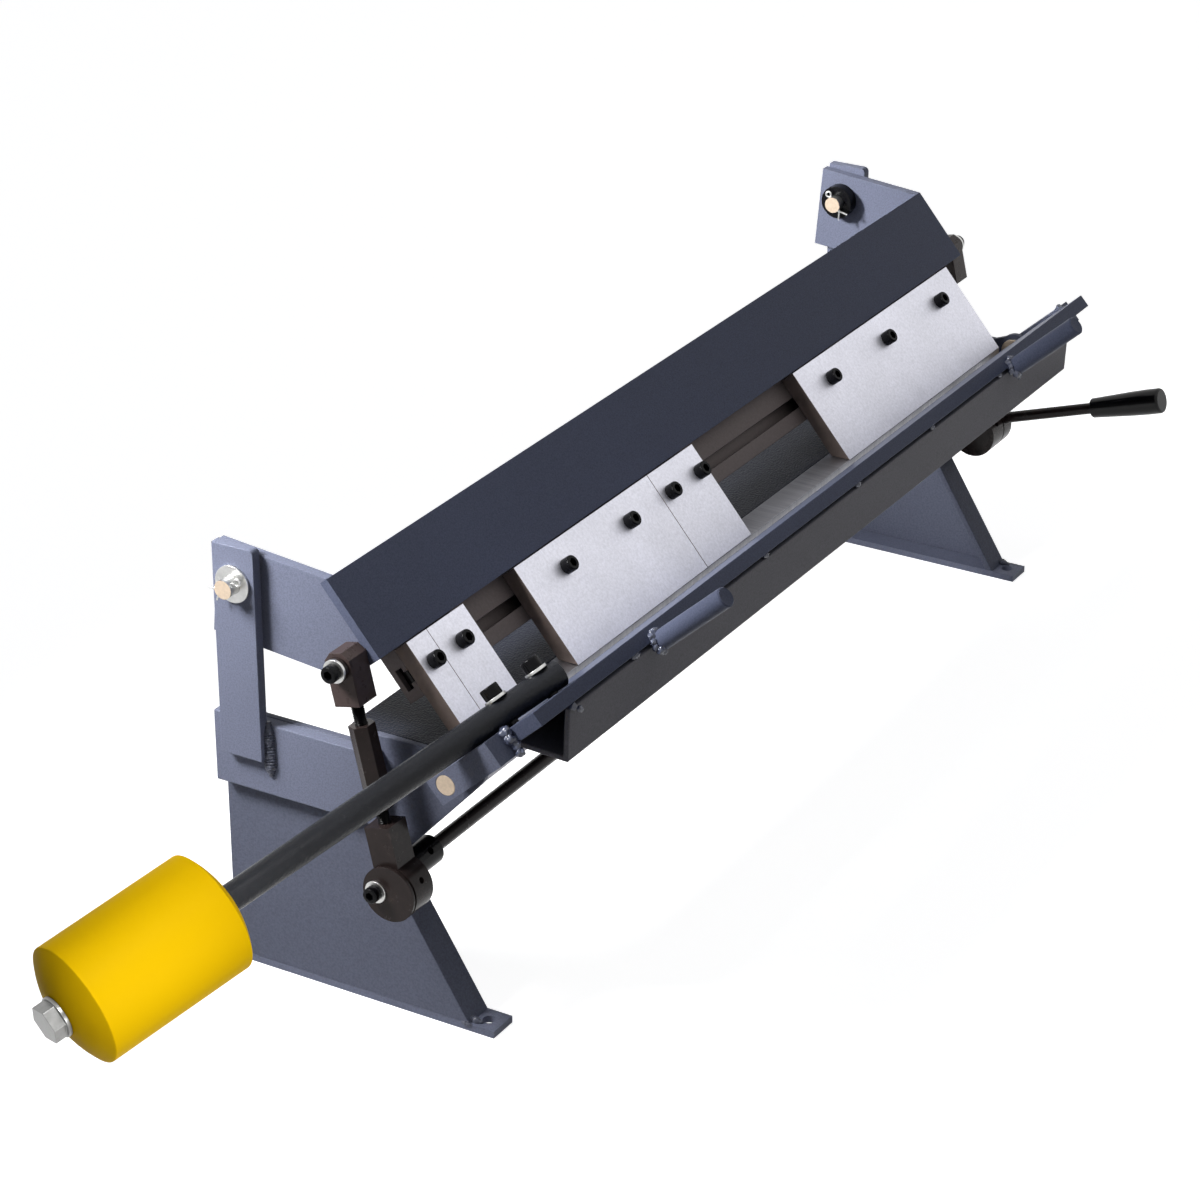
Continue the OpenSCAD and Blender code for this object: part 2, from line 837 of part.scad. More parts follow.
module weight_bolt() {
    color(zinc) rod_frame() {
        translate([0, 0, rod_l + rod_in - bolt_tip_l]) cylinder(d = bolt_tip_d, h = bolt_tip_l + over);
        translate([0, 0, rod_l + rod_in]) cylinder(d = bolt_d, h = weight_l + dome_h - rod_in - gap);
        translate([0, 0, rod_l + weight_l + dome_h - gap]) {
            cylinder(d = bolt_collar_d, h = bolt_collar_t);
            translate([0, 0, bolt_collar_t]) cylinder(d = bolt_af / cos(30), h = bolt_head_h, $fn = 6);
        }
    }
}

module rod_washers() {
    color(zinc) rod_places() translate([0, 0, -seat_deep]) ring(rod_washer_d, cap_d, washer_t);
}

module rod_screws() {
    color(oxide) rod_places() translate([0, 0, washer_t - seat_deep])
        cap_screw(cap_d, rod_d + leaf_t + over);
}

side_plates();
feet();
side_bars();
pivot_posts();
bed_angle_iron();
bed_nose();
rear_pins();
rear_washers();
rear_collars();
rear_clips();
shaft_sleeves();
hinge_pins();
clamp_beam();
end_plates();
tee_slot_bar();
link_bolts();
link_spacers();
link_washers();
finger(0);  // finger_1
finger(1);  // finger_2
finger(2);  // finger_3
finger(3);  // finger_4
finger(4);  // finger_5
finger_screws(0);  // finger_screws_1
finger_screws(1);  // finger_screws_2
finger_screws(2);  // finger_screws_3
finger_screws(3);  // finger_screws_4
finger_screws(4);  // finger_screws_5
tee_nuts(0);  // tee_nuts_1
tee_nuts(1);  // tee_nuts_2
tee_nuts(2);  // tee_nuts_3
tee_nuts(3);  // tee_nuts_4
tee_nuts(4);  // tee_nuts_5
cam_shaft();
left_eccentric();
right_eccentric();
cam_washers();
cam_screws();
lever_rod();
lever_grip();
left_lower_block();
left_stud();
left_long_nut();
left_upper_block();
right_lower_block();
right_stud();
right_long_nut();
right_upper_block();
leaf_plate();
leaf_angle();
leaf_ears();
leaf_handles();
counterweight_rod();
counterweight();
weight_bolt();
rod_screws();
rod_washers();
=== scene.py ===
"""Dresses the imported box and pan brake: rounded edges, knurled screws, threads, welds, finishes."""

import json
from math import cos, pi, radians, sin

import bmesh
import bpy
from mathutils import Matrix, Vector, noise


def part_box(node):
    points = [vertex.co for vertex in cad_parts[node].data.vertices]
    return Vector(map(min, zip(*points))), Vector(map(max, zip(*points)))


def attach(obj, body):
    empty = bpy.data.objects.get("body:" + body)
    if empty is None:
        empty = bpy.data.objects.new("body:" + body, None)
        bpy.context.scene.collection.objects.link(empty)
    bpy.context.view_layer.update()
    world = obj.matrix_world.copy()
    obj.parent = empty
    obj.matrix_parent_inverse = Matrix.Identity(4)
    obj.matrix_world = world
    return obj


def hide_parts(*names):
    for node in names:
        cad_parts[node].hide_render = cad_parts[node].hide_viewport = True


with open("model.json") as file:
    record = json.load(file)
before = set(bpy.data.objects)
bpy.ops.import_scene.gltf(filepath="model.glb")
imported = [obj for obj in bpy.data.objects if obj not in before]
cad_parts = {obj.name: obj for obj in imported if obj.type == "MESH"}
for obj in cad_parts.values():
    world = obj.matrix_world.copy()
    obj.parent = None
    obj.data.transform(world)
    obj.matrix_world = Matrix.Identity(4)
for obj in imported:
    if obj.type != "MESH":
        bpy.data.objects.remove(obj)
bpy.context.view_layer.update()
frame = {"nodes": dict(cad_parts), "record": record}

bl_info = {
    "name": "Box and Pan Brake",
    "version": (1, 0, 0),
    "blender": (4, 5, 0),
    "location": "3D View > Sidebar > Brake",
    "description": "Dresses the packed brake with its finishes and fine detail",
    "category": "Object",
}

JOINTS = {joint["name"]: joint for joint in frame["record"]["behaviour"]["joints"]}
HINGE = Vector(JOINTS["leaf_hinge"]["pos_m"])
LEAF_UP = radians(JOINTS["leaf_hinge"]["range_deg"][1])
FACE_TILT = radians(50)  # the fingers' face above the level
LINK_LEAN = radians(13.13)  # the studs, off the upright
MM = 0.001
MERGE = 0.002 * MM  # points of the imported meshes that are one
FLAT = radians(0.6)  # facets of one flat face
SHARP = 38  # degrees above which an edge is shaded sharp
END_FACE = 0.3  # share of X in the normal of a face that looks along it
STUD_R = 3.25 * MM
FINGERS = 5
# In the leaf's frame, in millimetres: the handles' distance from the middle, root and height
HANDLE_X, HANDLE_ROOT, HANDLE_N = 212.0, 57.5, -5.2
HANDLE_R, HANDLE_L = 5.5 * MM, 51 * MM
# Place along the leaf and length of each tack between the leaf and its angle, in millimetres
TACKS = ((-169, 5), (-95, 5), (12, 6), (105, 5), (196, 5), (-232, 8))
TACK_U, TACK_N = 56.0, -3.6
# Where an ear joins the leaf, and the lumps at each end of the angle: place and share of radius
EAR_X = 325.0
ANGLE_ENDS = ((293.0, 55.5, -4.5, 1.0), (290.5, 56.0, -7.5, 0.8))
# Camera fitted to the photograph
CAMERA_AT = (-1.632, -0.924, 0.996)
CAMERA_HEADING, CAMERA_DIP = radians(30.57), radians(25.75)
FOCAL_PIXELS, PHOTO_PIXELS = 3631.0, 1200.0
SENSOR = 36.0
# Strengths of the light from all round and of the floor's own white
SOFT_LIGHT, FLOOR_GLOW = 0.12, 0.88
# Name, place, aim, diameter, power and spread of each lamp
LAMPS = (
    ("left box", (-0.6, 0.34, 0.62), (-0.33, 0.13, 0.32), 0.25, 1.0, 48),
    ("weight box", (-0.72, -0.3, 0.7), (-0.53, -0.02, 0.11), 0.2, 0.08, 26),
    ("low box", (-0.78, -0.66, 0.16), (-0.54, -0.03, 0.11), 0.2, 0.09, 26),
    ("far box", (-0.5, 0.75, 0.75), (0.34, 0.07, 0.235), 0.2, 0.4, 18),
    ("top box", (0.5, -1.0, 2.3), (0.0, 0.0, 0.12), 1.2, 4.5, 180),
)


class BrakeSizes(bpy.types.PropertyGroup):
    """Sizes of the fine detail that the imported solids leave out."""

    plate_edge: bpy.props.FloatProperty(
        name="Plate edge", description="Rounding of the painted plates' edges",
        default=0.7 * MM, unit="LENGTH"
    )
    machined_edge: bpy.props.FloatProperty(
        name="Machined edge", description="Rounding of the bare steel's edges",
        default=0.3 * MM, unit="LENGTH"
    )
    small_edge: bpy.props.FloatProperty(
        name="Small part edge", description="Rounding of blocks, nuts and discs",
        default=0.45 * MM, unit="LENGTH"
    )
    weld_radius: bpy.props.FloatProperty(
        name="Weld radius", description="Half the width of a weld bead",
        default=2.2 * MM, unit="LENGTH"
    )
    thread_pitch: bpy.props.FloatProperty(
        name="Thread pitch", description="Pitch of the link studs",
        default=1.0 * MM, unit="LENGTH"
    )


class BrakeColours(bpy.types.PropertyGroup):
    """Colours of the brake's finishes."""

    paint: bpy.props.FloatVectorProperty(
        name="Frame paint", description="Blue-grey paint of the frame and beam",
        subtype="COLOR", size=3, default=(0.102, 0.116, 0.178),
    )
    # Partly painted reflection: the angle's paint, made neutral grey and lighter to stand for the
    # floor's reflection in its face
    angle_grey_and_reflection: bpy.props.FloatVectorProperty(
        name="Angle paint", description="Grey of the leaf's stiffening angle, lightened and made neutral by a painted floor reflection",
        subtype="COLOR", size=3, default=(0.19, 0.185, 0.205),
    )
    steel: bpy.props.FloatVectorProperty(
        name="Machined steel", description="Bare steel of the fingers and bed",
        subtype="COLOR", size=3, default=(0.74, 0.74, 0.81),
    )
    mill: bpy.props.FloatVectorProperty(
        name="Mill scale", description="Dull brown steel of the T-slotted bar",
        subtype="COLOR", size=3, default=(0.1, 0.082, 0.08),
    )
    scale: bpy.props.FloatVectorProperty(
        name="Edge scale", description="Brown scale on the fingers' side faces",
        subtype="COLOR", size=3, default=(0.15, 0.115, 0.1),
    )
    oxide: bpy.props.FloatVectorProperty(
        name="Black oxide", description="Links and eccentrics", subtype="COLOR", size=3,
        default=(0.024, 0.017, 0.016),
    )
    screw: bpy.props.FloatVectorProperty(
        name="Screws", description="Black of the cap screws", subtype="COLOR", size=3,
        default=(0.003, 0.003, 0.004),
    )
    zinc: bpy.props.FloatVectorProperty(
        name="Zinc plate", description="Pins, clips and washers", subtype="COLOR", size=3,
        default=(0.6, 0.6, 0.59),
    )
    pin_end: bpy.props.FloatVectorProperty(
        name="Pin ends", description="Sawn ends of the pivot pins", subtype="COLOR", size=3,
        default=(0.62, 0.5, 0.38),
    )
    # Painted light: the frame's own blue-grey paint drawn lighter for the sideways-facing plates that
    # the left lamp lights
    sidelit_paint_tone: bpy.props.FloatVectorProperty(
        name="Upright paint with painted light", description="Frame paint drawn lighter as painted light on the plates that face sideways",
        subtype="COLOR", size=3, default=(0.165, 0.18, 0.25),
    )
    weight: bpy.props.FloatVectorProperty(
        name="Counterweight", description="Yellow enamel of the counterweight",
        subtype="COLOR", size=3, default=(0.82, 0.5, 0.002),
    )
    rod: bpy.props.FloatVectorProperty(
        name="Rod", description="Black paint of the counterweight rod", subtype="COLOR", size=3,
        default=(0.01, 0.011, 0.015),
    )
    grip: bpy.props.FloatVectorProperty(
        name="Grip", description="Black of the clamp lever's grip", subtype="COLOR", size=3,
        default=(0.004, 0.004, 0.005),
    )
    floor: bpy.props.FloatVectorProperty(
        name="Floor", description="Pale studio floor", subtype="COLOR", size=3,
        default=(0.6, 0.6, 0.6),
    )


class Socket:
    """One value in a node tree; arithmetic on it adds Math nodes."""

    def __init__(self, finish, link):
        self.finish = finish
        self.link = link

    def _math(self, operation, *values):
        return self.finish.node("ShaderNodeMath", {"operation": operation}, dict(enumerate(values)))

    def __add__(self, other):
        return self._math("ADD", self, other)

    def __sub__(self, other):
        return self._math("SUBTRACT", self, other)

    def __mul__(self, other):
        return self._math("MULTIPLY", self, other)

    __radd__ = __add__
    __rmul__ = __mul__


class Finish:
    """A Principled material whose patterns read Object coordinates."""

    def __init__(self, name, **constants):
        self.material = bpy.data.materials.new(name)
        self.material.use_nodes = True
        self.tree = self.material.node_tree
        self.shader = self.tree.nodes["Principled BSDF"]
        for socket, value in constants.items():
            self.shader.inputs[socket.replace("_", " ")].default_value = value
        self.place = self.node("ShaderNodeTexCoord", out="Object")

    def node(self, kind, settings=None, values=None, out=0):
        """Adds a node, sets it up, feeds its sockets and returns one of its outputs."""
        made = self.tree.nodes.new(kind)
        for key, value in (settings or {}).items():
            if key == "stops":
                ramp = made.color_ramp
                while len(ramp.elements) < len(value):
                    ramp.elements.new(0.5)
                for element, (position, colour) in zip(ramp.elements, value):
                    element.position = position
                    element.color = (colour, colour, colour, 1.0)
            else:
                setattr(made, key, value)
        for key, value in (values or {}).items():
            if isinstance(value, Socket):
                self.tree.links.new(value.link, made.inputs[key])
            else:
                made.inputs[key].default_value = value
        return Socket(self, made.outputs[out])

    def stretched(self, scale):
        """Object coordinates with their own scale along each axis."""
        return self.node("ShaderNodeMapping", values={"Vector": self.place, "Scale": scale})

    def noise(self, scale, detail=2.0, rough=0.5, place=None):
        """A cloudy pattern from 0 to 1; scale is in cycles per metre."""
        values = {"Vector": place or self.place, "Scale": scale}
        values.update({"Detail": detail, "Roughness": rough})
        return self.node("ShaderNodeTexNoise", values=values)

    def ramp(self, value, *stops):
        """A value sent through stops of (position, grey)."""
        return self.node("ShaderNodeValToRGB", {"stops": stops}, {"Fac": value})

    def mix(self, amount, first, second, blend="MIX"):
        """Two colours mixed by an amount; the node's colours are sockets 6, 7 and, as output, 2."""
        first, second = (c if isinstance(c, Socket) else (*c, 1.0) for c in (first, second))
        return self.node(
            "ShaderNodeMix", {"data_type": "RGBA", "blend_type": blend},
            {0: amount, 6: first, 7: second}, out=2,
        )

    def feed(self, socket, value):
        """Links a value to a socket of the shader."""
        self.tree.links.new(value.link, self.shader.inputs[socket])

    def bump(self, height, distance, strength=1.0, under=None):
        """A relief of a depth in metres, on top of the one under it."""
        values = {"Height": height, "Distance": distance, "Strength": strength}
        if under:
            values["Normal"] = under
        return self.node("ShaderNodeBump", values=values)


def shade(colour, factor):
    """A colour made darker or lighter."""
    return tuple(min(1.0, c * factor) for c in colour)


def painted(name, colour, grain, depth, roughness=0.4, gloss=0.1, lumps=0.0):
    """Sprayed paint with a fine grain; lumps adds the leathery texture of a thick coat."""
    finish = Finish(name, Specular_IOR_Level=gloss)
    cloud = finish.noise(9.0, 3.0)
    speck = finish.noise(grain, 2.0, 0.6)
    tint = finish.mix(cloud, shade(colour, 0.88), shade(colour, 1.12))
    dark = finish.ramp(speck, (0.32, 0.84), (0.62, 1.06))
    finish.feed("Base Color", finish.mix(1.0, tint, dark, "MULTIPLY"))
    finish.feed("Roughness", roughness - 0.06 + 0.12 * cloud)
    relief = finish.bump(speck, depth)
    if lumps:
        relief = finish.bump(finish.noise(grain * 0.75, 1.0, 0.4), lumps, 1.0, relief)
    finish.feed("Normal", relief)
    return finish.material


def machined(name, colour, roughness=0.42, metallic=1.0):
    """Bare sheet steel: a mottled, slightly cloudy mill surface."""
    finish = Finish(name, Metallic=metallic)
    cloud = finish.noise(26.0, 4.0, 0.6)
    fleck = finish.noise(620.0, 3.0, 0.7)
    lines = finish.noise(1.0, 2.0, 0.5, finish.stretched((14.0, 900.0, 900.0)))
    tone = finish.mix(cloud, shade(colour, 0.86), shade(colour, 1.14))
    tone = finish.mix(1.0, tone, finish.ramp(fleck, (0.32, 0.89), (0.68, 1.06)), "MULTIPLY")
    finish.feed("Base Color", tone)
    finish.feed("Roughness", roughness + 0.16 * cloud - 0.06 * fleck)
    finish.feed("Normal", finish.bump(lines, 0.00002, 0.5, finish.bump(fleck, 0.00005, 0.7)))
    return finish.material


def ground(name, colour):
    """The bed's ground top: short strokes across the bar that catch the light."""
    finish = Finish(name, Metallic=1.0)
    strokes = finish.noise(1.0, 3.0, 0.6, finish.stretched((420.0, 30.0, 30.0)))
    cloud = finish.noise(40.0, 3.0)
    tone = finish.mix(strokes, shade(colour, 0.6), shade(colour, 1.35))
    finish.feed("Base Color", tone)
    finish.feed("Roughness", 0.3 + 0.15 * cloud)
    finish.feed("Normal", finish.bump(strokes, 0.00006, 0.7))
    return finish.material


def scaled_edge(name, colour):
    """Brown scale left on a sheared or flame-cut face."""
    finish = Finish(name, Metallic=0.35)
    cloud = finish.noise(110.0, 4.0, 0.7)
    finish.feed("Base Color", finish.mix(cloud, shade(colour, 0.55), shade(colour, 1.6)))
    finish.feed("Roughness", 0.5 + 0.25 * cloud)
    finish.feed("Normal", finish.bump(cloud, 0.0002, 0.5))
    return finish.material


def oxide(name, colour, roughness, gloss, rub):
    """Black oxide on steel, with a warm sheen and spots that rub makes brighter."""
    finish = Finish(name, Specular_IOR_Level=gloss)
    cloud = finish.noise(160.0, 3.0, 0.6)
    rubbed = finish.ramp(finish.noise(60.0, 5.0, 0.7), (0.56, 0.0), (0.78, 1.0))
    tone = finish.mix(cloud, shade(colour, 0.7), shade(colour, 1.4))
    finish.feed("Base Color", finish.mix(rubbed, tone, shade(colour, rub)))
    finish.feed("Roughness", roughness - 0.05 + 0.16 * cloud)
    finish.feed("Normal", finish.bump(finish.noise(1400.0, 2.0), 0.00002, 0.5))
    return finish.material


def plated(name, colour):
    """Bright zinc with a faint haze."""
    finish = Finish(name, Metallic=1.0)
    cloud = finish.noise(240.0, 4.0, 0.6)
    finish.feed("Base Color", finish.mix(cloud, shade(colour, 0.7), shade(colour, 1.3)))
    finish.feed("Roughness", 0.22 + 0.2 * cloud)
    finish.feed("Normal", finish.bump(cloud, 0.00006, 0.6))
    return finish.material


def rolled(name, colour):
    """Black paint over rolled steel, whose shallow dents break up its sheen."""
    finish = Finish(name, Specular_IOR_Level=0.22)
    dents = finish.noise(520.0, 4.0, 0.7)
    cloud = finish.noise(30.0, 3.0, 0.6)
    finish.feed("Base Color", finish.mix(cloud, shade(colour, 0.8), shade(colour, 1.5)))
    finish.feed("Roughness", 0.16 + 0.16 * cloud)
    finish.feed("Normal", finish.bump(dents, 0.0005, 1.0))
    return finish.material


def enamel(name, colour):
    """Smooth yellow enamel with a little orange peel."""
    finish = Finish(name, Specular_IOR_Level=0.01)
    cloud = finish.noise(14.0, 3.0)
    finish.feed("Base Color", finish.mix(cloud, shade(colour, 0.95), shade(colour, 1.04)))
    finish.feed("Roughness", 0.4 + 0.08 * cloud)
    finish.feed("Normal", finish.bump(finish.noise(420.0, 2.0), 0.00006, 0.5))
    return finish.material


def moulded(name, colour):
    """Glossy black grip."""
    finish = Finish(name, Base_Color=(*colour, 1.0), Specular_IOR_Level=0.2)
    cloud = finish.noise(90.0, 2.0)
    finish.feed("Roughness", 0.14 + 0.08 * cloud)
    finish.feed("Normal", finish.bump(finish.noise(500.0, 2.0), 0.00002, 0.4))
    return finish.material


def make_finishes(colours):
    """One material for each material slot and for each finer finish within a slot."""
    # The lighter tone and the three side finishes made from it are painted light: copies of the frame
    # paint lightened to stand for light from the left, the side plates' copy less so
    paint, light = colours.paint, colours.sidelit_paint_tone
    return {
        "frame_paint": painted("blue grey paint", paint, grain=1150.0, depth=0.00009),
        "sidelit_paint": painted("grey paint with painted side light", light, grain=1150.0, depth=0.00009, gloss=0.08),
        "cheek_sidelit_paint": painted(
            "textured paint with painted side light", light, grain=900.0, depth=0.00014,
            roughness=0.36, gloss=0.08, lumps=0.0002,
        ),
        "plate_sidelit_paint": painted(
            "plate paint with dimmer painted side light", shade(light, 0.72), grain=900.0, depth=0.00014,
            roughness=0.36, gloss=0.08, lumps=0.0002,
        ),
        "rough_paint": painted(
            "leathery dark paint", shade(paint, 0.2), grain=1250.0, depth=0.00012, lumps=0.0005
        ),
        # Partly painted reflection: the angle's grey stands for the floor's reflection as well as its
        # paint
        "angle_paint": painted(
            "angle paint with painted floor reflection", colours.angle_grey_and_reflection, grain=1150.0, depth=0.00007, roughness=0.5
        ),
        "weld_paint": painted(
            "glossy paint on welds", paint, grain=600.0, depth=0.0003,
            roughness=0.16, gloss=0.6, lumps=0.0004,
        ),
        # Half the painted side-light tone: the welds' dull grey, with painted light carried in from
        # that tone
        "weld_crust": painted(
            "dull paint on welds", shade(light, 0.5), grain=420.0, depth=0.0012,
            roughness=0.35, gloss=0.3, lumps=0.0014,
        ),
        "machined_steel": machined("bare mill steel", colours.steel),
        "mill_scale": machined("brown mill scale", colours.mill, roughness=0.5, metallic=0.6),
        "ground_steel": ground("ground bed steel", shade(colours.steel, 0.4)),
        "edge_scale": scaled_edge("brown cut edge", colours.scale),
        "zinc_plate": plated("bright zinc", colours.zinc),
        # Painted shade: the zinc darkened to 0.45 for the weight bolt, to hold down the weight lamp's
        # glare on it
        "zinc_with_painted_shade": plated("zinc with painted shade", shade(colours.zinc, 0.45)),
        "pin_end": machined("sawn pin end", colours.pin_end, roughness=0.45, metallic=0.5),
        "yellow_paint": enamel("yellow enamel", colours.weight),
        "grip_plastic": moulded("glossy black grip", colours.grip),
        "rod_black": rolled("black rod paint", colours.rod),
        "black_oxide": oxide(
            "black oxide steel", colours.oxide, roughness=0.22, gloss=0.16, rub=2.6
        ),
        # Painted sheen: the black oxide at 2.6 times its brightness, for the light the upper blocks
        # catch near the lit top
        "oxide_with_painted_sheen": oxide(
            "oxide steel with painted sheen", shade(colours.oxide, 2.6), roughness=0.26, gloss=0.16, rub=1.6
        ),
        "screw_black": oxide(
            "black screw steel", colours.screw, roughness=0.18, gloss=0.12, rub=3.0
        ),
    }


FINISHES = {}  # filled by main


def piece(name, bm, body, slot, *nodes, finish=None, others=()):
    """Turns a bmesh into an object that rides on a body and stands for CAD nodes.

    It has the slot's finish or a finer one, and others for faces with a higher material index.
    """
    bmesh.ops.recalc_face_normals(bm, faces=bm.faces[:])
    mesh = bpy.data.meshes.new(name)
    bm.to_mesh(mesh)
    bm.free()
    for polygon in mesh.polygons:
        polygon.use_smooth = True
    mesh.set_sharp_from_angle(angle=radians(SHARP))
    obj = bpy.data.objects.new(name, mesh)
    bpy.context.scene.collection.objects.link(obj)
    mesh.materials.append(FINISHES[finish or slot])
    for other in others:
        mesh.materials.append(FINISHES[other])
    even = obj.modifiers.new("even normals", "WEIGHTED_NORMAL")
    even.keep_sharp = True
    even.weight = 60
    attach(obj, body)
    if nodes:
        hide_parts(*nodes)
    return obj


def body_of(node):
    """The body that carries a CAD node."""
    for body, nodes in frame["record"]["behaviour"]["bodies"].items():
        if node in nodes:
            return body
    raise KeyError(node)


def slot_of(node):
    """A CAD node's material slot."""
    for entry in frame["record"]["subparts"]:
        if entry["node"] == node:
            return entry["material_slot"]
    raise KeyError(node)


def merged(node):
    """A CAD node's mesh in its place, with its points merged."""
    bm = bmesh.new()
    bm.from_mesh(frame["nodes"][node].data)
    bm.transform(frame["nodes"][node].matrix_world)
    bmesh.ops.remove_doubles(bm, verts=bm.verts[:], dist=MERGE)
    return bm


def round_edges(bm, width, segments, angle):
    """Rounds the edges whose faces turn by more than an angle in degrees."""
    sharp = [e for e in bm.edges if e.is_manifold and e.calc_face_angle(0.0) > radians(angle)]
    bmesh.ops.bevel(
        bm, geom=sharp, offset=width, offset_type="OFFSET", segments=segments, profile=0.5,
        affect="EDGES", clamp_overlap=True, material=-1,
    )


def dress(node, width, segments=2, finish=None, angle=34, ends=None):
    """A CAD node with rounded edges, in its place.

    The faces that look along X have the finish called ends, where it is given.
    """
    bm = merged(node)
    bmesh.ops.dissolve_limit(bm, angle_limit=FLAT, verts=bm.verts[:], edges=bm.edges[:])
    if width:
        round_edges(bm, width, segments, angle)
    if ends:
        for face in bm.faces:
            face.material_index = 1 if abs(face.normal.x) > END_FACE else 0
    return piece(
        node + "_finished", bm, body_of(node), slot_of(node), node,
        finish=finish, others=[ends] if ends else [],
    )


def islands(node):
    """The separate solids of a CAD node, each as a list of points."""
    bm = merged(node)
    left = set(bm.verts)
    found = []
    while left:
        stack = [left.pop()]
        group = []
        while stack:
            vert = stack.pop()
            group.append(vert.co.copy())
            for edge in vert.link_edges:
                other = edge.other_vert(vert)
                if other in left:
                    left.remove(other)
                    stack.append(other)
        found.append(group)
    bm.free()
    return sorted(found, key=lambda g: g[0].x)


def along(axis, at):
    """Places Z along an axis at a point."""
    return Matrix.Translation(at) @ Vector(axis).to_track_quat("Z", "Y").to_matrix().to_4x4()


def lathe(bm, profile, segments=48, matrix=None):
    """Adds the solid that a profile of (radius, height) pairs makes about Z."""
    part = bmesh.new()
    verts = [part.verts.new((r, 0, z)) for r, z in profile]
    edges = [part.edges.new(pair) for pair in zip(verts, verts[1:])]
    bmesh.ops.spin(
        part, geom=verts + edges, cent=(0, 0, 0), axis=(0, 0, 1), angle=2 * pi,
        steps=segments, use_merge=True,
    )
    bmesh.ops.remove_doubles(part, verts=part.verts[:], dist=0.001 * MM)
    add(bm, part, matrix or Matrix())
    part.free()


def grow(bm, edges, lift=0.0, scale=1.0):
    """Extrudes an open ring and moves the new one up and in or out."""
    out = bmesh.ops.extrude_edge_only(bm, edges=edges)["geom"]
    verts = [g for g in out if isinstance(g, bmesh.types.BMVert)]
    bmesh.ops.scale(bm, vec=(scale, scale, 1), verts=verts)
    bmesh.ops.translate(bm, vec=(0, 0, lift), verts=verts)
    return [g for g in out if isinstance(g, bmesh.types.BMEdge)], verts


def turn_of(vert):
    """A point's angle about Z."""
    return Vector(vert.co.xy).angle_signed(Vector((1, 0)))


def cap_head(width, height, socket, knurl=0.03, teeth=36):
    """A knurled cap screw head that stands on z = 0, with a hexagon socket in its top."""
    bm = bmesh.new()
    count = 2 * teeth
    seat = 0.93  # the bevel under the head
    bmesh.ops.create_circle(bm, cap_ends=True, segments=count, radius=width / 2 * seat)
    edges = bm.edges[:]
    edges, low = grow(bm, edges, height * 0.07, 1 / seat)
    edges, high = grow(bm, edges, height * 0.8)
    for verts in (low, high):
        for vert in verts:
            tooth = round(turn_of(vert) % (2 * pi) / (2 * pi) * count)
            if tooth % 2:
                vert.co.x *= 1 - knurl
                vert.co.y *= 1 - knurl
    # The rounded rim, the top, and the socket
    edges, _ = grow(bm, edges, height * 0.09, 0.955)
    edges, _ = grow(bm, edges, height * 0.04, 0.93)
    edges, verts = grow(bm, edges, 0, 0.72)
    for vert in verts:
        turn = (turn_of(vert) + pi / 6) % (pi / 3) - pi / 6
        vert.co.xy = Vector(vert.co.xy).normalized() * (socket / 2 / cos(turn))
    edges, _ = grow(bm, edges, -height * 0.55, 0.98)
    bmesh.ops.edgeloop_fill(bm, edges=edges)
    return bm


def add(bm, other, matrix):
    """Puts a copy of one bmesh into another."""
    part = bpy.data.meshes.new("part")
    copied = other.copy()
    copied.transform(matrix)
    copied.to_mesh(part)
    copied.free()
    bm.from_mesh(part)
    bpy.data.meshes.remove(part)


def seats(node, axis, height):
    """Each screw of a node: the centre of its head's underside, and its direction."""
    places = []
    for group in islands(node):
        middle = sum(group, Vector()) / len(group)
        out = Vector(axis or (middle.x, 0, 0)).normalized()
        top = max(p.dot(out) for p in group)
        rim = [p for p in group if p.dot(out) > top - height * 0.5]
        low = Vector(tuple(min(p[i] for p in rim) for i in range(3)))
        high = Vector(tuple(max(p[i] for p in rim) for i in range(3)))
        centre = (low + high) / 2
        places.append((centre + out * (top - height - centre.dot(out)), out))
    return places


def screws(node, axis, width, height, length, socket):
    """Knurled cap screws in the places of a node's plain ones; no axis means outwards along X."""
    bm = bmesh.new()
    head = cap_head(width, height, socket)
    shank = bmesh.new()
    tip = 0.4 * MM
    radius = height / 2  # a cap screw's head is as high as its thread is wide
    profile = [(0, -length), (radius - tip, -length), (radius, tip - length), (radius, 0), (0, 0)]
    lathe(shank, profile, segments=24)
    for at, out in seats(node, axis, height):
        add(bm, head, along(out, at))
        add(bm, shank, along(out, at))
    head.free()
    shank.free()
    return piece(node + "_knurled", bm, body_of(node), slot_of(node), node, finish="screw_black")


def threaded(node, foot, axis, length, radius, pitch):
    """A stud with a cut thread in the place of a node's plain rod."""
    bm = bmesh.new()
    deep = pitch * 0.55
    profile = [(0, 0), (radius - deep, 0)]
    for turn in range(int(length / pitch)):
        rise = turn * pitch
        profile += [(radius - deep, rise + pitch * 0.1)]
        profile += [(radius, rise + pitch * share) for share in (0.45, 0.6)]
    profile += [(radius - deep, length), (0, length)]
    lathe(bm, profile, segments=24)
    bm.transform(along(axis, foot))
    return piece(node + "_threaded", bm, body_of(node), slot_of(node), node, finish="screw_black")


